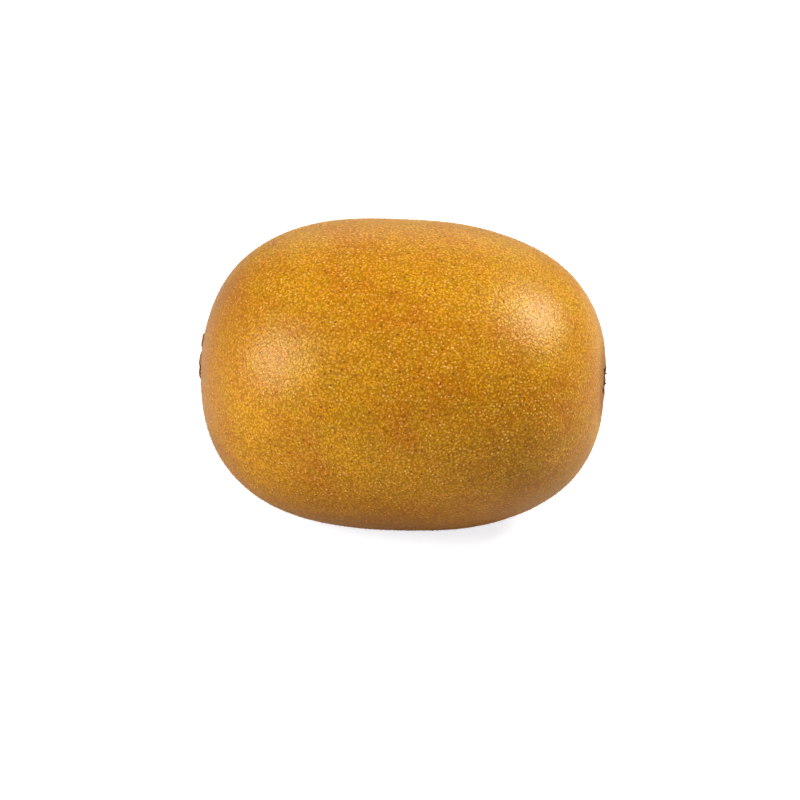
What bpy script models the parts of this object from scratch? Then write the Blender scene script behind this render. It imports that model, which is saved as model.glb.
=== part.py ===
"""A whole golden kiwi fruit, lying on its side as picked.

The fruit's long axis runs along X, stem end at -X and blossom end at +X, with +Z up.
It rests on a small flattened spot.  Lengths are in metres.
"""
import math

import bmesh
import bpy
from mathutils import Matrix, Vector

# Driving dimensions
LENGTH = 0.0710            # along the fruit's axis, skin to skin
WIDTH = 0.0556             # across, level with the ground
HEIGHT = 0.0545            # across, upright, before the rest spot is taken off
BLUNTNESS = 2.50           # 2 is an ellipse; more fills the shoulders and blunts the ends
STEM_END_FULLER = 0.020    # share by which the stem half is wider than the blossom half
REST_HALF_WIDTH = 0.0062   # half the width of the flattened spot beneath
GAP = 0.00036              # clearance between touching pieces

# Slow waves round the fruit: lobes, share of the radius, turn in radians
GROWTH_WAVES = ((2, 0.0030, 0.6), (3, 0.0045, 1.9), (5, 0.0020, 4.0))

# The shallow hollows at the two ends
STEM_HOLLOW_DEPTH = 0.0010
STEM_HOLLOW_RADIUS = 0.0042
BLOSSOM_HOLLOW_DEPTH = 0.0006
BLOSSOM_HOLLOW_RADIUS = 0.0032

# The corky scar that the stalk leaves
SCAR_RADIUS = 0.0026
SCAR_HEIGHT = 0.0013
SCAR_PIT_RADIUS = 0.0011
SCAR_PIT_DEPTH = 0.0006

# The dried sepals round the scar
SEPAL_COUNT = 5
SEPAL_HALF_LENGTH = 0.00145
SEPAL_HALF_WIDTH = 0.00135
SEPAL_THICKNESS = 0.00070
SEPAL_CURL = 0.00045       # how far the tip lifts from the skin
SEPAL_TURN = 0.35
SEPAL_NARROWING = 0.35     # share of its width that it loses from middle to tip

# The knot of dried styles at the blossom end
STYLE_KNOT_RADIUS = 0.0019
STYLE_KNOT_HEIGHT = 0.0013
STYLE_FLUTES = 9
STYLE_FLUTE_DEPTH = 0.16   # share of the knot's radius

# How finely the round shapes are turned
FRUIT_RINGS = 40
FRUIT_STEPS = 56
SMALL_STEPS = 36

HALF_LENGTH = LENGTH / 2
HALF_WIDTH = WIDTH / 2
STEM_END = -1
BLOSSOM_END = 1


def clear_scene():
    for item in list(bpy.data.objects):
        bpy.data.objects.remove(item, do_unlink=True)


def make_material(name, colour, roughness):
    material = bpy.data.materials.new(name)
    material.use_nodes = True
    shader = material.node_tree.nodes["Principled BSDF"]
    shader.inputs["Base Color"].default_value = (*colour, 1.0)
    shader.inputs["Roughness"].default_value = roughness
    shader.inputs["Metallic"].default_value = 0.0
    material.diffuse_color = (*colour, 1.0)
    return material


def hollow_depth(radius, end):
    """Depth of the shallow hollow at one end, at a distance from the axis."""
    if end == STEM_END:
        return STEM_HOLLOW_DEPTH * math.exp(-((radius / STEM_HOLLOW_RADIUS) ** 2))
    return BLOSSOM_HOLLOW_DEPTH * math.exp(-((radius / BLOSSOM_HOLLOW_RADIUS) ** 2))


def end_surface(radius, end):
    """The skin's place along X near one end, at a distance from the axis."""
    fill = 1.0 - (radius / HALF_WIDTH) ** BLUNTNESS
    return end * (HALF_LENGTH * fill ** (1.0 / BLUNTNESS) - hollow_depth(radius, end))


def fruit_profile():
    """The fruit's outline from the stem end to the blossom end, as (x, radius) points."""
    points = []
    for ring in range(FRUIT_RINGS + 1):
        turn = math.pi * ring / FRUIT_RINGS
        along = -math.cos(turn)
        end = STEM_END if along < 0 else BLOSSOM_END
        x = end * HALF_LENGTH * abs(along) ** (2.0 / BLUNTNESS)
        radius = HALF_WIDTH * max(math.sin(turn), 0.0) ** (2.0 / BLUNTNESS)
        x -= end * hollow_depth(radius, end)
        radius *= 1.0 - STEM_END_FULLER * x / HALF_LENGTH
        points.append((x, radius))
    points[0] = (points[0][0], 0.0)
    points[-1] = (points[-1][0], 0.0)
    return points


def turn_about_axis(profile, steps):
    """A closed body turned about X from an outline whose two ends lie on the axis."""
    bm = bmesh.new()
    points = [bm.verts.new((x, 0.0, radius)) for x, radius in profile]
    edges = [bm.edges.new(pair) for pair in zip(points, points[1:])]
    bmesh.ops.spin(
        bm, geom=points + edges, cent=(0, 0, 0), axis=(1, 0, 0),
        angle=math.tau, steps=steps, use_merge=True,
    )
    bmesh.ops.remove_doubles(bm, verts=bm.verts, dist=1e-7)
    bmesh.ops.recalc_face_normals(bm, faces=bm.faces)
    return bm


def add_object(name, bm, material):
    mesh = bpy.data.meshes.new(name)
    bm.to_mesh(mesh)
    bm.free()
    mesh.shade_smooth()
    mesh.set_sharp_from_angle(angle=math.radians(50))
    mesh.materials.append(material)
    item = bpy.data.objects.new(name, mesh)
    bpy.context.scene.collection.objects.link(item)
    return item


def grow_unevenly(bm):
    """Give the round section the slight lobes that a real fruit grows with."""
    for vert in bm.verts:
        angle = math.atan2(vert.co.z, vert.co.y)
        swell = 1.0
        for lobes, share, turn in GROWTH_WAVES:
            swell += share * math.cos(lobes * angle + turn)
        middle = 1.0 - min(abs(vert.co.x) / HALF_LENGTH, 1.0) ** 4
        factor = 1.0 + (swell - 1.0) * middle
        vert.co.y *= factor
        vert.co.z *= factor


def flatten_beneath(bm):
    """Take off the cap that the fruit rests on, and close the cut with one flat face."""
    curve_radius = HEIGHT / 2
    cap_height = curve_radius - math.sqrt(curve_radius ** 2 - REST_HALF_WIDTH ** 2)
    lowest = min(vert.co.z for vert in bm.verts)
    cut = bmesh.ops.bisect_plane(
        bm, geom=bm.verts[:] + bm.edges[:] + bm.faces[:], dist=1e-7,
        plane_co=(0, 0, lowest + cap_height), plane_no=(0, 0, -1), clear_outer=True,
    )
    rim = [piece for piece in cut["geom_cut"] if isinstance(piece, bmesh.types.BMEdge)]
    bmesh.ops.contextual_create(bm, geom=rim)
    bmesh.ops.remove_doubles(bm, verts=bm.verts, dist=1e-7)
    bmesh.ops.recalc_face_normals(bm, faces=bm.faces)


def make_fruit():
    skin = make_material("kiwi_skin", (0.56, 0.31, 0.045), 0.48)
    bm = turn_about_axis(fruit_profile(), FRUIT_STEPS)
    grow_unevenly(bm)
    bmesh.ops.scale(bm, verts=bm.verts, vec=(1.0, 1.0, HEIGHT / WIDTH))
    flatten_beneath(bm)
    return add_object("fruit", bm, skin)


def make_stem_scar():
    """The corky button where the stalk broke away, with a pit in its middle."""
    cork = make_material("stem_cork", (0.20, 0.11, 0.05), 0.85)
    inner = end_surface(0.0, STEM_END) - GAP
    rim = end_surface(SCAR_RADIUS, STEM_END) - GAP
    outer = inner - SCAR_HEIGHT
    profile = [
        (inner, 0.0),
        ((inner + rim) / 2, SCAR_RADIUS * 0.55),
        (rim, SCAR_RADIUS * 0.92),
        (rim - SCAR_HEIGHT * 0.35, SCAR_RADIUS),
        (outer + SCAR_HEIGHT * 0.10, SCAR_RADIUS * 0.88),
        (outer, SCAR_RADIUS * 0.70),
        (outer + SCAR_HEIGHT * 0.04, SCAR_PIT_RADIUS),
        (outer + SCAR_PIT_DEPTH, SCAR_PIT_RADIUS * 0.62),
        (outer + SCAR_PIT_DEPTH, 0.0),
    ]
    return add_object("stem_scar", turn_about_axis(profile, SMALL_STEPS), cork)


def make_sepal(number, dry):
    """One dried sepal, a small scale that lies on the skin beside the scar."""
    bm = bmesh.new()
    bmesh.ops.create_uvsphere(bm, u_segments=16, v_segments=10, radius=1.0)
    centre = SCAR_RADIUS + GAP + SEPAL_HALF_LENGTH * 1.08
    bearing = SEPAL_TURN + math.tau * number / SEPAL_COUNT
    for vert in bm.verts:
        outward, sideways, lift = vert.co
        radius = centre + SEPAL_HALF_LENGTH * outward
        across = SEPAL_HALF_WIDTH * sideways * (1.0 - SEPAL_NARROWING * outward)
        angle = bearing + across / centre
        height = SEPAL_THICKNESS * (lift + 1.0) / 2 + SEPAL_CURL * max(outward, 0.0) ** 2
        vert.co = Vector((
            end_surface(radius, STEM_END) - GAP - height,
            radius * math.cos(angle),
            radius * math.sin(angle),
        ))
    bmesh.ops.recalc_face_normals(bm, faces=bm.faces)
    return add_object(f"sepal_{number + 1}", bm, dry)


def make_style_knot():
    """The small fluted knot of dried styles in the blossom end's hollow."""
    dry = make_material("dried_styles", (0.12, 0.065, 0.03), 0.80)
    inner = end_surface(0.0, BLOSSOM_END) + GAP
    rim = end_surface(STYLE_KNOT_RADIUS, BLOSSOM_END) + GAP
    profile = [
        (inner, 0.0),
        ((inner + rim) / 2, STYLE_KNOT_RADIUS * 0.5),
        (rim, STYLE_KNOT_RADIUS * 0.85),
        (rim + STYLE_KNOT_HEIGHT * 0.25, STYLE_KNOT_RADIUS),
        (inner + STYLE_KNOT_HEIGHT * 0.80, STYLE_KNOT_RADIUS * 0.80),
        (inner + STYLE_KNOT_HEIGHT, STYLE_KNOT_RADIUS * 0.45),
        (inner + STYLE_KNOT_HEIGHT * 0.85, 0.0),
    ]
    bm = turn_about_axis(profile, SMALL_STEPS)
    for vert in bm.verts:
        angle = math.atan2(vert.co.z, vert.co.y)
        flute = 1.0 - STYLE_FLUTE_DEPTH * (0.5 - 0.5 * math.cos(STYLE_FLUTES * angle))
        vert.co.y *= flute
        vert.co.z *= flute
    return add_object("style_knot", bm, dry)


def stand_on_origin(pieces):
    """Move every mesh so that the whole stands on Z = 0, centred over the origin."""
    corners = [vert.co for item in pieces for vert in item.data.vertices]
    low = Vector([min(corner[axis] for corner in corners) for axis in range(3)])
    high = Vector([max(corner[axis] for corner in corners) for axis in range(3)])
    shift = Matrix.Translation((-(low.x + high.x) / 2, -(low.y + high.y) / 2, -low.z))
    for item in pieces:
        item.data.transform(shift)


def main():
    clear_scene()
    pieces = [make_fruit(), make_stem_scar()]
    dry = make_material("dried_sepals", (0.15, 0.075, 0.03), 0.85)
    pieces += [make_sepal(number, dry) for number in range(SEPAL_COUNT)]
    pieces.append(make_style_knot())
    stand_on_origin(pieces)


main()
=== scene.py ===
"""A whole golden kiwi fruit lying on a pale floor.

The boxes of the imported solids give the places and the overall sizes.  The outline's bluntness,
fullness and growth waves repeat the solid's, and finer measures are named below.  The script
grows the fine surface: skin with its mottling, raised lenticels, short down, the corky stem
scar with its dried sepals, and the dried styles at the blossom end.
"""
import bisect
import math
import random

import bmesh
import bpy
from mathutils import Matrix, Vector, noise
from mathutils.bvhtree import BVHTree


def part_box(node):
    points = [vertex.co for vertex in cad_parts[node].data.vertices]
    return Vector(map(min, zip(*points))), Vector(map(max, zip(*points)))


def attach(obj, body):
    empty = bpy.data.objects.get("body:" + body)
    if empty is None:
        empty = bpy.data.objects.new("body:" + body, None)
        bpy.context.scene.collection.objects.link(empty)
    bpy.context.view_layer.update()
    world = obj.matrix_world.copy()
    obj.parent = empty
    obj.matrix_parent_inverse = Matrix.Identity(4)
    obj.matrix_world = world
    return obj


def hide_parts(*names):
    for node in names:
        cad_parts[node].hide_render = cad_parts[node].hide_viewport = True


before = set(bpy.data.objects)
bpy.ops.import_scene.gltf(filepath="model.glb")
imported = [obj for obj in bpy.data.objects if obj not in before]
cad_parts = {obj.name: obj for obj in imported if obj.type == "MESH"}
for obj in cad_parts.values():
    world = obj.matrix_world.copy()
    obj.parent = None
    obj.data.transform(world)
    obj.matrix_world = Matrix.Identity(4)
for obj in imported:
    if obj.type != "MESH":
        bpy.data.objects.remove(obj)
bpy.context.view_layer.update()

MM = 0.001

# The fruit's outline, as the solids have it
BLUNTNESS = 2.50
STEM_END_FULLER = 0.020
GROWTH_WAVES = ((2, 0.0030, 0.6), (3, 0.0045, 1.9), (5, 0.0020, 4.0))
STEM_END = -1
BLOSSOM_END = 1
HOLLOWS = {STEM_END: (1.0 * MM, 4.2 * MM), BLOSSOM_END: (0.6 * MM, 3.2 * MM)}
OVAL = 0.98                      # height of the round section over its width

# How finely the skin is grown
SKIN_RINGS = 190
SKIN_STEPS = 250

# Unevenness of the skin: wavelength, height
SWELLS = ((13.0 * MM, 0.16 * MM), (4.5 * MM, 0.035 * MM), (1.6 * MM, 0.012 * MM))
END_ZONE = 0.8                   # share of the half length past which the end pieces matter
BARE_RADIUS = 5.5 * MM           # lenticels and down stay outside this at the ends
PRESS = 0.22 * MM                # how softly the skin rounds into its rest spot

# The low collars round the two ends: radius, width, height
COLLARS = {
    STEM_END: (3.7 * MM, 1.60 * MM, 0.60 * MM),
    BLOSSOM_END: (3.6 * MM, 0.90 * MM, 0.26 * MM),
}

# The corky scar
SCAR_STEPS = 96
SCAR_POINTS = 22
SCAR_SINK = 0.7 * MM             # how far its foot goes into the skin
SCAR_RIPPLES = ((0.9 * MM, 0.10 * MM), (0.3 * MM, 0.06 * MM))     # wavelength, height

# Sepals
SEPAL_GRID = 16
SEPAL_HALF_LENGTH = 2.30 * MM
SEPAL_HALF_WIDTH = 1.95 * MM
SEPAL_THICKNESS = 0.15 * MM
SEPAL_CURL = 0.28 * MM
SEPAL_RIB = 0.07 * MM
SEPAL_FOLDS = 0.10 * MM
SEPAL_CUP = 0.12 * MM            # how far its sides lift

# Dried styles
STYLE_COUNT = 26
STYLE_SIDES = 6
STYLE_JOINTS = 6
STYLE_THICKNESS = 0.16 * MM
STYLE_LENGTH = (1.1 * MM, 2.0 * MM)

# Lenticels
LENTICEL_SPACING = 0.57 * MM
LENTICEL_TRIES = 90000
LENTICEL_RADIUS = (0.08 * MM, 0.26 * MM)
LENTICEL_HEIGHT = (0.030 * MM, 0.075 * MM)
LENTICEL_RARITY = 2.4            # more makes large ones rarer
CROWDING = ((3.2 * MM, 1.0), (1.3 * MM, 0.6))
CROWDING_PULL = 2.2              # how strongly large ones gather in patches

# Down
DOWN_SPACING = 1.0 * MM
DOWN_TRIES = 16000
DOWN_LENGTH = (0.25 * MM, 0.60 * MM)
DOWN_THICKNESS = 0.018 * MM

# Camera and lights
VIEW_AZIMUTH = math.radians(6.0)
VIEW_ELEVATION = math.radians(26.0)
VIEW_DISTANCE = 1.0
LENS = 256.0
AIM_DROP = 5.0 * MM              # how far below the fruit's middle the camera looks
AIM_SIDE = -0.7 * MM
FLOOR_REACH = 0.60
AMBIENT = 0.24                   # the studio's own light, beside the softboxes

fruit_low, fruit_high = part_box("fruit")
FRUIT_MIDDLE = (fruit_low + fruit_high) / 2
FRUIT_SIZE = fruit_high - fruit_low
HALF_LENGTH = FRUIT_SIZE.x / 2
HALF_WIDTH = FRUIT_SIZE.y / 2


# ---------------------------------------------------------------- shader maths

class Value:
    """A number socket.  Arithmetic on it adds Math nodes to its finish."""

    def __init__(self, finish, socket):
        self.finish = finish
        self.socket = socket

    def maths(self, operation, *numbers):
        return self.finish.maths(operation, self, *numbers)

    def __add__(self, other):
        return self.maths("ADD", other)

    __radd__ = __add__

    def __sub__(self, other):
        return self.maths("SUBTRACT", other)

    def __rsub__(self, other):
        return self.finish.maths("SUBTRACT", other, self)

    def __mul__(self, other):
        return self.maths("MULTIPLY", other)

    __rmul__ = __mul__

    def __pow__(self, other):
        return self.maths("POWER", other)


class Finish:
    """One material: a Principled shader and the nodes that drive it."""

    def __init__(self, name, **constants):
        self.material = bpy.data.materials.new(name)
        self.material.use_nodes = True
        self.tree = self.material.node_tree
        self.shader = self.tree.nodes["Principled BSDF"]
        for socket, value in constants.items():
            self.shader.inputs[socket.replace("_", " ")].default_value = value

    def add(self, kind, settings=None, values=None, output=0):
        """Add a node: its settings first, then what its sockets hold or take."""
        node = self.tree.nodes.new(kind)
        for name, setting in (settings or {}).items():
            setattr(node, name, setting)
        for key, item in (values or {}).items():
            self.feed(node.inputs[key], item)
        return Value(self, node.outputs[output])

    def feed(self, socket, item):
        if isinstance(item, Value):
            self.tree.links.new(item.socket, socket)
        else:
            socket.default_value = item

    def maths(self, operation, *numbers):
        return self.add("ShaderNodeMath", {"operation": operation}, dict(enumerate(numbers)))

    def step(self, value, low, high):
        """A smooth step from 0 at low to 1 at high."""
        return self.add(
            "ShaderNodeMapRange", {"interpolation_type": "SMOOTHSTEP"},
            {"Value": value, "From Min": low, "From Max": high, "To Min": 0.0, "To Max": 1.0},
        )

    def mix(self, share, first, second):
        """Mix two colours.  The colour sockets of a Mix node are its sixth and seventh."""
        return self.add(
            "ShaderNodeMix", {"data_type": "RGBA"},
            {0: share, 6: first, 7: second}, output=2,
        )

    def place(self, centre):
        """Object coordinates in millimetres from a centre."""
        here = self.add("ShaderNodeTexCoord", output=3)
        move = [-place / MM for place in centre]
        return self.add("ShaderNodeMapping", None, {
            "Vector": here, "Location": move, "Scale": [1 / MM] * 3,
        })

    def cloud(self, where, waves_per_mm, detail=3.0, roughness=0.55, warp=0.0):
        return self.add("ShaderNodeTexNoise", None, {
            "Vector": where, "Scale": waves_per_mm, "Detail": detail,
            "Roughness": roughness, "Distortion": warp,
        })

    def cells(self, where, cells_per_mm, feature="F1"):
        """Distance from the middle of each cell, or from its edge, in cell widths."""
        return self.add("ShaderNodeTexVoronoi", {"feature": feature}, {
            "Vector": where, "Scale": cells_per_mm,
        }, output="Distance")

    def bump(self, height, depth, under=None):
        """Bump whose height is in millimetres."""
        values = {"Height": height, "Strength": 1.0, "Distance": depth * MM}
        if under is not None:
            values["Normal"] = under
        return self.add("ShaderNodeBump", None, values)

    def dress(self, **sockets):
        for socket, item in sockets.items():
            self.feed(self.shader.inputs[socket.replace("_", " ")], item)
        return self.material


def colour(red, green, blue):
    return (red, green, blue, 1.0)


# ---------------------------------------------------------------- finishes

GOLD = colour(0.740, 0.370, 0.001)
OLIVE_GOLD = colour(0.580, 0.340, 0.001)
ORANGE_BROWN = colour(0.570, 0.205, 0.001)
PINK_TAN = colour(0.720, 0.330, 0.100)
# Painted shade: the stem end's shoulder is darkened towards its rim
SHOULDER_PAINTED_SHADE = colour(0.350, 0.145, 0.045)
# Painted shade: the underside is darkened where shade falls under the fruit
UNDERSIDE_PAINTED_SHADE = colour(0.400, 0.130, 0.002)
DRY_BROWN = colour(0.160, 0.060, 0.015)
DOT_TAN = colour(0.760, 0.370, 0.050)
DOT_DARK = colour(0.240, 0.085, 0.012)
CORK_PALE = colour(0.42, 0.23, 0.10)
CORK_DARK = colour(0.18, 0.080, 0.030)
SEPAL_PALE = colour(0.50, 0.26, 0.12)
SEPAL_DARK = colour(0.24, 0.11, 0.045)
STYLE_PALE = colour(0.22, 0.11, 0.045)
STYLE_DARK = colour(0.07, 0.030, 0.012)


def end_nearness(finish, where):
    """Where a point lies on the fruit: its distance from the axis in millimetres, and shares
    from 0 to 1 for nearness to either end, to the stem end's shoulder and to the underside, the last
    two for painted shade."""
    x = finish.add("ShaderNodeSeparateXYZ", None, {0: where})
    y = Value(finish, x.socket.node.outputs[1])
    z = Value(finish, x.socket.node.outputs[2])
    off_axis = (y * y + z * z) ** 0.5
    towards_end = finish.step(x.maths("ABSOLUTE"), 26.0, 33.0)
    # Mask for painted shade on the stem end's shoulder
    shoulder = finish.step(0 - x, 24.0, 35.0)
    # Mask for painted shade on the underside, darker towards the bottom
    beneath_shade = finish.step(0 - z, 4.0, 24.0)
    return off_axis, towards_end, shoulder, beneath_shade


def skin_finish():
    finish = Finish(
        "kiwi_skin", IOR=1.45, Specular_Tint=colour(1.0, 0.86, 0.52), Sheen_Weight=0.03,
        Sheen_Roughness=0.35, Subsurface_Weight=0.10, Subsurface_Scale=0.0016,
        Subsurface_Radius=(1.0, 0.42, 0.10),
        Sheen_Tint=colour(1.0, 0.80, 0.55),
    )
    where = finish.place(FRUIT_MIDDLE)
    broad = finish.step(finish.cloud(where, 0.075, 4.0, 0.6, 0.4), 0.36, 0.66)
    patches = finish.step(finish.cloud(where, 0.30, 4.0, 0.6), 0.40, 0.64)
    flecks = finish.step(finish.cloud(where, 1.5, 4.0, 0.65), 0.40, 0.66)
    grains = finish.cloud(where, 5.0, 3.0, 0.7)

    tone = finish.mix(broad, GOLD, ORANGE_BROWN)
    tone = finish.mix(patches * 0.65, tone, OLIVE_GOLD)
    tone = finish.mix(flecks * 0.26, tone, PINK_TAN)
    crumbs = finish.step(finish.cloud(where, 3.1, 2.0, 0.5, 0.3), 0.53, 0.63)
    tone = finish.mix(crumbs * finish.step(flecks, 0.1, 0.7) * 0.65, tone, PINK_TAN)
    tone = finish.mix(finish.step(grains, 0.35, 0.70) * 0.35, tone, colour(0.36, 0.165, 0.008))

    pebbles = finish.cells(where, 2.1)
    # Painted shade: the skin is darkened towards the pebble edges, in the crevices between pebbles
    tone = finish.mix(finish.step(pebbles, 0.25, 0.60) * 0.62, tone, colour(0.300, 0.110, 0.002))
    pale_dots = 1 - finish.step(finish.cells(where, 1.25), 0.16, 0.34)
    tone = finish.mix(pale_dots * 0.55, tone, DOT_TAN)
    dark_dots = 1 - finish.step(finish.cells(where, 0.72), 0.11, 0.21)
    tone = finish.mix(dark_dots * 0.80, tone, DOT_DARK)

    off_axis, towards_end, shoulder, beneath_shade = end_nearness(finish, where)
    # Painted shade: the stem end's shoulder darkened towards the rim
    tone = finish.mix(shoulder * (0.55 + broad * 0.25), tone, SHOULDER_PAINTED_SHADE)
    # Painted shade: the underside darkened towards the bottom
    tone = finish.mix(beneath_shade * (0.45 + patches * 0.25), tone, UNDERSIDE_PAINTED_SHADE)
    ragged = off_axis + (finish.cloud(where, 0.6, 3.0) - 0.5) * 4.0
    scorched = (1 - finish.step(ragged, 3.5, 9.0)) * towards_end
    scorch_tone = finish.mix(flecks, colour(0.300, 0.130, 0.055), DRY_BROWN)
    tone = finish.mix(scorched * 0.75, tone, scorch_tone)

    relief = finish.cloud(where, 2.2, 4.0, 0.6)
    first = finish.bump(relief, 0.05)
    second = finish.bump(1 - pebbles, 0.05, first)
    third = finish.bump(finish.cloud(where, 6.0, 2.0), 0.015, second)
    return finish.dress(
        Base_Color=tone, Roughness=0.25 + grains * 0.14 + scorched * 0.25, Normal=third,
    )


def lenticel_finish():
    finish = Finish(
        "lenticel", IOR=1.45, Specular_Tint=colour(1.0, 0.86, 0.52),
        Subsurface_Weight=0.12, Subsurface_Scale=0.0010, Subsurface_Radius=(1.0, 0.5, 0.2),
    )
    where = finish.place(FRUIT_MIDDLE)
    drift = finish.step(finish.cloud(where, 0.16, 3.0), 0.38, 0.64)
    each = finish.step(finish.cloud(where, 1.1, 2.0), 0.35, 0.68)
    tone = finish.mix(drift, colour(0.740, 0.360, 0.030), colour(0.700, 0.270, 0.030))
    tone = finish.mix(each * 0.65, tone, colour(0.880, 0.500, 0.170))
    off_axis, towards_end, shoulder, beneath_shade = end_nearness(finish, where)
    # Painted shade on the lenticels: darker at the stem end's shoulder
    tone = finish.mix(shoulder * 0.60, tone, colour(0.480, 0.240, 0.090))
    # Painted shade on the lenticels: darker towards the bottom
    tone = finish.mix(beneath_shade * 0.50, tone, colour(0.560, 0.210, 0.020))
    scorched = (1 - finish.step(off_axis, 4.0, 9.0)) * towards_end
    tone = finish.mix(scorched * 0.75, tone, DRY_BROWN)
    grain = finish.cloud(where, 8.0, 2.0)
    return finish.dress(
        Base_Color=tone, Roughness=0.34 + grain * 0.2, Normal=finish.bump(grain, 0.03),
    )


def down_finish():
    finish = Finish("down", Roughness=0.55, Sheen_Weight=0.3)
    where = finish.place(FRUIT_MIDDLE)
    patch = finish.cloud(where, 0.5, 2.0)
    tone = finish.mix(patch, colour(0.72, 0.46, 0.20), colour(0.50, 0.26, 0.08))
    return finish.dress(Base_Color=tone, Roughness=0.5 + patch * 0.2)


def dry_finish(name, pale, dark, cracking):
    """Dry plant matter: streaked, cracked, matt."""
    finish = Finish(name, IOR=1.4, Sheen_Weight=0.1)
    where = finish.place(FRUIT_MIDDLE)
    streaks = finish.cloud(where, 1.6, 5.0, 0.7, 0.6)
    cracks = 1 - finish.step(finish.cells(where, 1.3, "DISTANCE_TO_EDGE"), 0.0, 0.14)
    tone = finish.mix(finish.step(streaks, 0.3, 0.7), dark, pale)
    tone = finish.mix(cracks * cracking, tone, colour(0.045, 0.020, 0.008))
    relief = finish.bump(streaks, 0.16)
    return finish.dress(
        Base_Color=tone, Roughness=0.68 + streaks * 0.25, Normal=finish.bump(1 - cracks, 0.08, relief),
    )


def floor_finish():
    finish = Finish(
        "pale_floor", Roughness=0.6, Emission_Strength=1.0,
    )
    seen = Value(finish, finish.add("ShaderNodeLightPath").socket.node.outputs["Is Camera Ray"])
    glow = finish.mix(seen, colour(0.05, 0.05, 0.05), colour(0.66, 0.67, 0.69))
    return finish.dress(Base_Color=colour(0.48, 0.48, 0.49), Emission_Color=glow)


# ---------------------------------------------------------------- shapes

def hollow_depth(radius, end):
    depth, reach = HOLLOWS[end]
    return depth * math.exp(-((radius / reach) ** 2))


def collar_height(radius, angle, end):
    """A collar's lift over the skin, broken into uneven lobes round the end."""
    middle, width, height = COLLARS[end]
    ring = math.exp(-(((radius - middle) / width) ** 4))
    lobes = 0.78 + 0.22 * math.sin(5 * angle + 0.8) + 0.14 * math.sin(11 * angle + end)
    return height * ring * lobes


def fruit_outline():
    """Points from the stem end to the blossom end, as (x, radius), close together at the ends."""
    points = []
    for ring in range(SKIN_RINGS + 1):
        turn = math.pi * ring / SKIN_RINGS
        along = -math.cos(turn)
        end = STEM_END if along < 0 else BLOSSOM_END
        x = end * HALF_LENGTH * abs(along) ** (2.0 / BLUNTNESS)
        radius = HALF_WIDTH * max(math.sin(turn), 0.0) ** (2.0 / BLUNTNESS)
        x -= end * hollow_depth(radius, end)
        radius *= 1.0 - STEM_END_FULLER * x / HALF_LENGTH
        points.append((x, radius))
    points[0] = (points[0][0], 0.0)
    points[-1] = (points[-1][0], 0.0)
    return points


def turn_about_axis(outline, steps):
    bm = bmesh.new()
    points = [bm.verts.new((x, 0.0, radius)) for x, radius in outline]
    edges = [bm.edges.new(pair) for pair in zip(points, points[1:])]
    bmesh.ops.spin(
        bm, geom=points + edges, cent=(0, 0, 0), axis=(1, 0, 0),
        angle=math.tau, steps=steps, use_merge=True,
    )
    bmesh.ops.remove_doubles(bm, verts=bm.verts, dist=1e-7)
    bmesh.ops.recalc_face_normals(bm, faces=bm.faces)
    return bm


def fit_to_box(bm, low, high):
    """Stretch and move the mesh so that it fills the box."""
    for axis in range(3):
        values = [vert.co[axis] for vert in bm.verts]
        least, most = min(values), max(values)
        share = (high[axis] - low[axis]) / (most - least)
        for vert in bm.verts:
            vert.co[axis] = low[axis] + (vert.co[axis] - least) * share


def unevenness(place):
    return sum(
        height * noise.noise(place / wavelength + Vector((wavelength, 7.1, 3.3)))
        for wavelength, height in SWELLS
    )


def grow_skin():
    bm = turn_about_axis(fruit_outline(), SKIN_STEPS)
    for vert in bm.verts:
        angle = math.atan2(vert.co.z, vert.co.y)
        swell = sum(share * math.cos(lobes * angle + turn) for lobes, share, turn in GROWTH_WAVES)
        middle = 1.0 - min(abs(vert.co.x) / HALF_LENGTH, 1.0) ** 4
        vert.co.y *= 1.0 + swell * middle
        vert.co.z *= (1.0 + swell * middle) * OVAL
    rest = min(vert.co.z for vert in bm.verts) + (2 * HALF_WIDTH * OVAL - FRUIT_SIZE.z)
    bm.normal_update()
    moves = [vert.normal * unevenness(vert.co) for vert in bm.verts]
    for vert, move in zip(bm.verts, moves):
        vert.co += move
        over = vert.co.z - rest
        vert.co.z = rest + 0.5 * (over + math.sqrt(over * over + PRESS * PRESS))
    fit_to_box(bm, fruit_low, fruit_high)
    for vert in bm.verts:
        off = vert.co - FRUIT_MIDDLE
        if abs(off.x) > END_ZONE * HALF_LENGTH:
            end = STEM_END if off.x < 0 else BLOSSOM_END
            vert.co.x += end * collar_height(math.hypot(off.y, off.z), math.atan2(off.z, off.y), end)
    bm.normal_update()
    return bm


def add_piece(name, bm, material, node=None):
    mesh = bpy.data.meshes.new(name)
    bm.to_mesh(mesh)
    bm.free()
    mesh.shade_smooth()
    mesh.materials.append(material)
    piece = bpy.data.objects.new(name, mesh)
    bpy.context.scene.collection.objects.link(piece)
    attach(piece, "root")
    if node:
        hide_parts(node)


def scatter(bm, spacing, tries, dice):
    """Random places on the skin, clear of its ends, no two nearer than the spacing, each with
    its normal."""
    faces = [face for face in bm.faces if face.calc_center_median().z > 0.5 * MM]
    reach = []
    total = 0.0
    for face in faces:
        total += face.calc_area()
        reach.append(total)
    grid = {}
    places = []
    for _ in range(tries):
        face = faces[bisect.bisect_left(reach, dice.random() * total)]
        corners = [vert.co for vert in face.verts]
        across, along = dice.random(), dice.random()
        near = corners[0].lerp(corners[1], across)
        far = corners[-1].lerp(corners[2], across)
        place = near.lerp(far, along)
        if not clear_of_ends(place):
            continue
        cell = tuple(int(value // spacing) for value in place)
        around = (
            grid.get((cell[0] + i, cell[1] + j, cell[2] + k))
            for i in (-1, 0, 1) for j in (-1, 0, 1) for k in (-1, 0, 1)
        )
        if any(other and min((place - spot).length for spot in other) < spacing for other in around):
            continue
        grid.setdefault(cell, []).append(place)
        places.append((place, face.normal.copy()))
    return places


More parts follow.
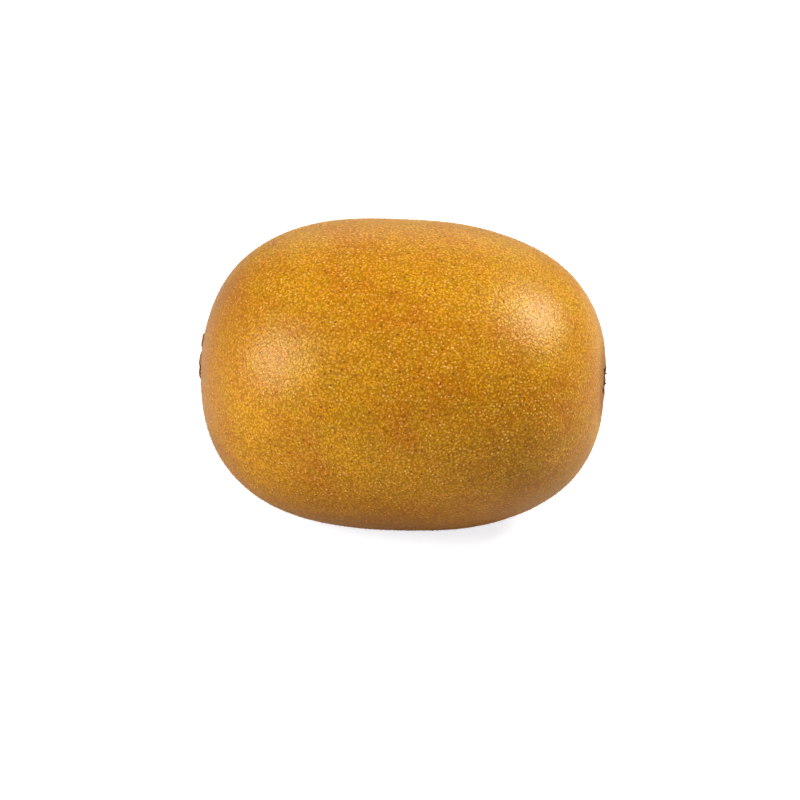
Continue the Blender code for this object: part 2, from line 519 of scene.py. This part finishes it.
def stamp(bm, pattern, matrix):
    """Add one moved copy of a small mesh."""
    pattern.transform(matrix)
    bm.from_mesh(pattern)
    pattern.transform(matrix.inverted())


def upright(place, normal, turn, scale):
    return (
        Matrix.Translation(place)
        @ normal.to_track_quat("Z", "Y").to_matrix().to_4x4()
        @ Matrix.Rotation(turn, 4, "Z")
        @ Matrix.Diagonal((*scale, 1.0))
    )


def as_pattern(bm):
    mesh = bpy.data.meshes.new("pattern")
    bm.to_mesh(mesh)
    bm.free()
    return mesh


def dome_pattern():
    """A low closed dome of radius 1 and height 1, sunk a little below its foot."""
    bm = bmesh.new()
    bmesh.ops.create_cone(bm, cap_ends=True, segments=5, radius1=1.0, radius2=0.52, depth=1.2)
    bmesh.ops.translate(bm, verts=bm.verts, vec=(0, 0, 0.4))
    bmesh.ops.recalc_face_normals(bm, faces=bm.faces)
    return as_pattern(bm)


def hair_pattern():
    """A three-sided tapering hair of length 1, standing on the origin."""
    bm = bmesh.new()
    bmesh.ops.create_cone(
        bm, cap_ends=True, segments=3, radius1=1.0, radius2=0.25, depth=1.1,
    )
    bmesh.ops.translate(bm, verts=bm.verts, vec=(0, 0, 0.45))
    bmesh.ops.recalc_face_normals(bm, faces=bm.faces)
    return as_pattern(bm)


def clear_of_ends(place):
    off_axis = math.hypot(place.y - FRUIT_MIDDLE.y, place.z - FRUIT_MIDDLE.z)
    return off_axis > BARE_RADIUS or abs(place.x - FRUIT_MIDDLE.x) < END_ZONE * HALF_LENGTH


def make_lenticels(skin, dice):
    pattern = dome_pattern()
    halves = {"stem": bmesh.new(), "blossom": bmesh.new()}
    for place, normal in scatter(skin, LENTICEL_SPACING, LENTICEL_TRIES, dice):
        crowding = sum(share * noise.noise(place / wavelength) for wavelength, share in CROWDING)
        size = dice.random() ** (LENTICEL_RARITY - CROWDING_PULL * crowding)
        radius = LENTICEL_RADIUS[0] + (LENTICEL_RADIUS[1] - LENTICEL_RADIUS[0]) * size
        height = LENTICEL_HEIGHT[0] + (LENTICEL_HEIGHT[1] - LENTICEL_HEIGHT[0]) * dice.random()
        scale = (radius * dice.uniform(0.95, 1.45), radius, height)
        half = "stem" if place.x < FRUIT_MIDDLE.x else "blossom"
        stamp(halves[half], pattern, upright(place, normal, dice.uniform(0, math.pi), scale))
    bpy.data.meshes.remove(pattern)
    material = lenticel_finish()
    for half, bm in halves.items():
        add_piece(f"lenticels_{half}_half", bm, material)


def make_down(skin, dice):
    pattern = hair_pattern()
    bm = bmesh.new()
    for place, normal in scatter(skin, DOWN_SPACING, DOWN_TRIES, dice):
        lean = Vector((dice.uniform(-0.2, 0.9), dice.uniform(-0.5, 0.5), dice.uniform(-0.5, 0.5)))
        scale = (DOWN_THICKNESS, DOWN_THICKNESS, dice.uniform(*DOWN_LENGTH))
        stamp(bm, pattern, upright(place, (normal + lean * 0.8).normalized(), 0.0, scale))
    bpy.data.meshes.remove(pattern)
    add_piece("down", bm, down_finish())


class EndFace:
    """The skin at one end, seen along the fruit's axis."""

    def __init__(self, tree, end):
        self.tree = tree
        self.end = end

    def place(self, radius, angle, lift):
        """A point over the skin, at a distance and bearing from the axis."""
        y = FRUIT_MIDDLE.y + radius * math.cos(angle)
        z = FRUIT_MIDDLE.z + radius * math.sin(angle)
        start = Vector((self.end * 2 * FRUIT_SIZE.x, y, z))
        hit = self.tree.ray_cast(start, Vector((-self.end, 0, 0)))[0]
        return Vector((hit.x + self.end * lift, y, z))


def ripple(place, wavelength, height):
    return height * noise.noise(place / wavelength)


def make_scar(face, material):
    """A corky button with a raised rim, a pit and rough cracked ridges."""
    low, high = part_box("stem_scar")
    size = (high.y - low.y) / 2
    proud = face.place(0.0, 0.0, 0.0).x - low.x
    outline = [(SCAR_SINK, size * 0.86)]
    for point in range(SCAR_POINTS + 1):
        share = 1.0 - point / SCAR_POINTS
        rim = math.exp(-(((share - 0.72) / 0.20) ** 2))
        pit = math.exp(-((share / 0.34) ** 2))
        edge = 1.0 - share ** 6
        outline.append((-proud * (0.58 + 0.42 * rim - 0.55 * pit) * edge, size * share))
    outline[-1] = (outline[-1][0], 0.0)
    outline.insert(0, (SCAR_SINK, 0.0))
    bm = turn_about_axis(outline, SCAR_STEPS)
    foot = face.place(0.0, 0.0, 0.0)
    for vert in bm.verts:
        angle = math.atan2(vert.co.z, vert.co.y)
        ragged = 1.0 + 0.05 * math.sin(7 * angle) + 0.05 * noise.noise(Vector((3 * angle, 0.3, 5.0)))
        vert.co.y *= ragged
        vert.co.z *= ragged
        vert.co.x += sum(ripple(vert.co, wavelength, height) for wavelength, height in SCAR_RIPPLES)
        vert.co += foot
    bmesh.ops.recalc_face_normals(bm, faces=bm.faces)
    add_piece("cork_scar", bm, material, "stem_scar")


def make_sepal(face, node, material, dice):
    """A dry, cupped scale with a rib down its middle, its tip curling off the skin."""
    low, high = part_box(node)
    off = (low + high) / 2 - FRUIT_MIDDLE
    bearing = math.atan2(off.z, off.y)
    reach = math.hypot(off.y, off.z)
    curl = SEPAL_CURL * dice.uniform(0.5, 1.3)
    tip = dice.uniform(0.75, 1.1)
    skew = dice.uniform(-0.25, 0.25)
    bm = bmesh.new()
    bmesh.ops.create_grid(bm, x_segments=SEPAL_GRID, y_segments=SEPAL_GRID, size=1.0)
    for vert in bm.verts:
        along, across = vert.co.x, vert.co.y
        outward = (along + 1) / 2
        ragged = 1.0 + ripple(Vector((outward * 4.0, across, bearing * 7.0)), 1.0, 0.30)
        narrow = (1.0 - (outward * 0.97) ** 1.5) * 1.15 * ragged
        radius = reach + SEPAL_HALF_LENGTH * along * tip
        angle = bearing + (across * narrow * SEPAL_HALF_WIDTH + skew * outward * MM) / reach
        rib = SEPAL_RIB * math.exp(-((across / 0.16) ** 2))
        folds = ripple(Vector((across * 2.2, along * 0.8, 3.0 * bearing)), 1.0, SEPAL_FOLDS)
        lift = 0.02 * MM + curl * outward ** 2 + SEPAL_CUP * across ** 2 * outward + rib + folds
        vert.co = face.place(radius, angle, lift)
    bmesh.ops.recalc_face_normals(bm, faces=bm.faces)
    bmesh.ops.solidify(bm, geom=bm.faces[:], thickness=SEPAL_THICKNESS)
    bmesh.ops.recalc_face_normals(bm, faces=bm.faces)
    add_piece(f"dry_{node}", bm, material, node)


def grow_style(bm, start, heading, length, dice):
    """A thin dry style: rings extruded one after another, bending and tapering to a tip."""
    ring = bmesh.ops.create_circle(bm, cap_ends=True, segments=STYLE_SIDES, radius=STYLE_THICKNESS)
    verts = ring["verts"]
    turn = heading.to_track_quat("Z", "Y").to_matrix().to_4x4()
    bmesh.ops.transform(bm, verts=verts, matrix=Matrix.Translation(start) @ turn)
    faces = list({face for vert in verts for face in vert.link_faces})
    bend = Vector((dice.uniform(-0.5, 0.1), dice.uniform(-0.5, 0.5), dice.uniform(-0.5, 0.5)))
    for joint in range(STYLE_JOINTS):
        grown = bmesh.ops.extrude_face_region(bm, geom=faces)
        bmesh.ops.delete(bm, geom=faces, context="FACES_ONLY")
        faces = [piece for piece in grown["geom"] if isinstance(piece, bmesh.types.BMFace)]
        verts = [piece for piece in grown["geom"] if isinstance(piece, bmesh.types.BMVert)]
        heading = (heading + bend * 0.22).normalized()
        bmesh.ops.translate(bm, verts=verts, vec=heading * (length / STYLE_JOINTS))
        middle = sum((vert.co for vert in verts), Vector()) / len(verts)
        taper = 0.94 if joint < STYLE_JOINTS - 1 else 0.4
        for vert in verts:
            vert.co = middle + (vert.co - middle) * taper * dice.uniform(0.92, 1.06)


def make_styles(face, material, dice):
    """The tuft of dried styles, radiating from a small woody knot."""
    low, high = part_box("style_knot")
    size = (high.y - low.y) / 2
    foot = face.place(0.0, 0.0, 0.0)
    bm = bmesh.new()
    bmesh.ops.create_uvsphere(bm, u_segments=28, v_segments=16, radius=1.0)
    for vert in bm.verts:
        angle = math.atan2(vert.co.z, vert.co.y)
        flute = 1.0 + 0.10 * math.sin(9 * angle) + ripple(vert.co, 0.35, 0.16)
        vert.co = Vector((
            vert.co.x * (high.x - foot.x) * 0.45,
            vert.co.y * size * 0.62 * flute,
            vert.co.z * size * 0.62 * flute,
        ))
        vert.co += foot
    for number in range(STYLE_COUNT):
        angle = math.tau * (number + dice.uniform(-0.3, 0.3)) / STYLE_COUNT
        rise = dice.uniform(0.05, 0.75)
        outward = Vector((0.0, math.cos(angle), math.sin(angle)))
        heading = (outward + Vector((rise, 0.0, 0.0))).normalized()
        start = foot + outward * size * 0.42 + Vector((0.12 * MM, 0.0, 0.0))
        grow_style(bm, start, heading, dice.uniform(*STYLE_LENGTH), dice)
    bmesh.ops.recalc_face_normals(bm, faces=bm.faces)
    add_piece("style_tuft", bm, material, "style_knot")


def make_ends(skin, dice):
    tree = BVHTree.FromBMesh(skin)
    stem = EndFace(tree, STEM_END)
    blossom = EndFace(tree, BLOSSOM_END)
    cork = dry_finish("stem_cork", CORK_PALE, CORK_DARK, 0.3)
    make_scar(stem, cork)
    scale = dry_finish("dry_sepal", SEPAL_PALE, SEPAL_DARK, 0.12)
    for node in sorted(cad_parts):
        if node.startswith("sepal"):
            make_sepal(stem, node, scale, dice)
    fibre = dry_finish("dry_style", STYLE_PALE, STYLE_DARK, 0.6)
    make_styles(blossom, fibre, dice)


# ---------------------------------------------------------------- stage, lights, camera

def make_floor():
    bm = bmesh.new()
    bmesh.ops.create_grid(bm, x_segments=2, y_segments=2, size=FLOOR_REACH)
    mesh = bpy.data.meshes.new("floor")
    bm.to_mesh(mesh)
    bm.free()
    mesh.materials.append(floor_finish())
    floor = bpy.data.objects.new("floor", mesh)
    bpy.context.scene.collection.objects.link(floor)


def add_softbox(name, direction, distance, size, power):
    lamp = bpy.data.lights.new(name, "AREA")
    lamp.shape = "RECTANGLE"
    lamp.size, lamp.size_y = size
    lamp.energy = power
    item = bpy.data.objects.new(name, lamp)
    towards = Vector(direction).normalized()
    item.location = FRUIT_MIDDLE + towards * distance
    item.rotation_euler = towards.to_track_quat("Z", "Y").to_euler()
    bpy.context.scene.collection.objects.link(item)


def light_studio():
    scene = bpy.context.scene
    scene.view_settings.view_transform = "Standard"
    scene.view_settings.look = "Medium High Contrast"
    world = bpy.data.worlds.new("studio")
    world.use_nodes = True
    nodes = world.node_tree.nodes
    backdrop = nodes["Background"]
    backdrop.inputs["Color"].default_value = (1.0, 1.0, 1.0, 1.0)
    ray = nodes.new("ShaderNodeLightPath")
    strength = nodes.new("ShaderNodeMapRange")
    strength.inputs["To Min"].default_value = AMBIENT
    strength.inputs["To Max"].default_value = 1.0
    world.node_tree.links.new(ray.outputs["Is Camera Ray"], strength.inputs["Value"])
    world.node_tree.links.new(strength.outputs["Result"], backdrop.inputs["Strength"])
    scene.world = world
    add_softbox("left_softbox", (-0.76, -0.50, 0.41), 0.60, (0.26, 0.26), 3.1)
    add_softbox("right_softbox", (0.725, 0.165, 0.667), 0.60, (0.24, 0.24), 3.6)
    add_softbox("back_softbox", (-0.05, 0.88, 0.46), 1.10, (0.95, 0.75), 1.3)


def set_camera():
    camera = bpy.data.cameras.new("camera")
    camera.lens = LENS
    camera.clip_start = 0.01
    camera.clip_end = 20.0
    item = bpy.data.objects.new("camera", camera)
    back = Vector((
        math.sin(VIEW_AZIMUTH) * math.cos(VIEW_ELEVATION),
        -math.cos(VIEW_AZIMUTH) * math.cos(VIEW_ELEVATION),
        math.sin(VIEW_ELEVATION),
    ))
    turn = back.to_track_quat("Z", "Y")
    aim = FRUIT_MIDDLE + turn @ Vector((AIM_SIDE, -AIM_DROP, 0.0))
    item.location = aim + back * VIEW_DISTANCE
    item.rotation_euler = turn.to_euler()
    bpy.context.scene.collection.objects.link(item)
    bpy.context.scene.camera = item


def main():
    dice = random.Random(20)
    skin = grow_skin()
    make_lenticels(skin, dice)
    make_down(skin, dice)
    make_ends(skin, dice)
    add_piece("skin", skin, skin_finish(), "fruit")
    make_floor()
    light_studio()
    set_camera()


main()
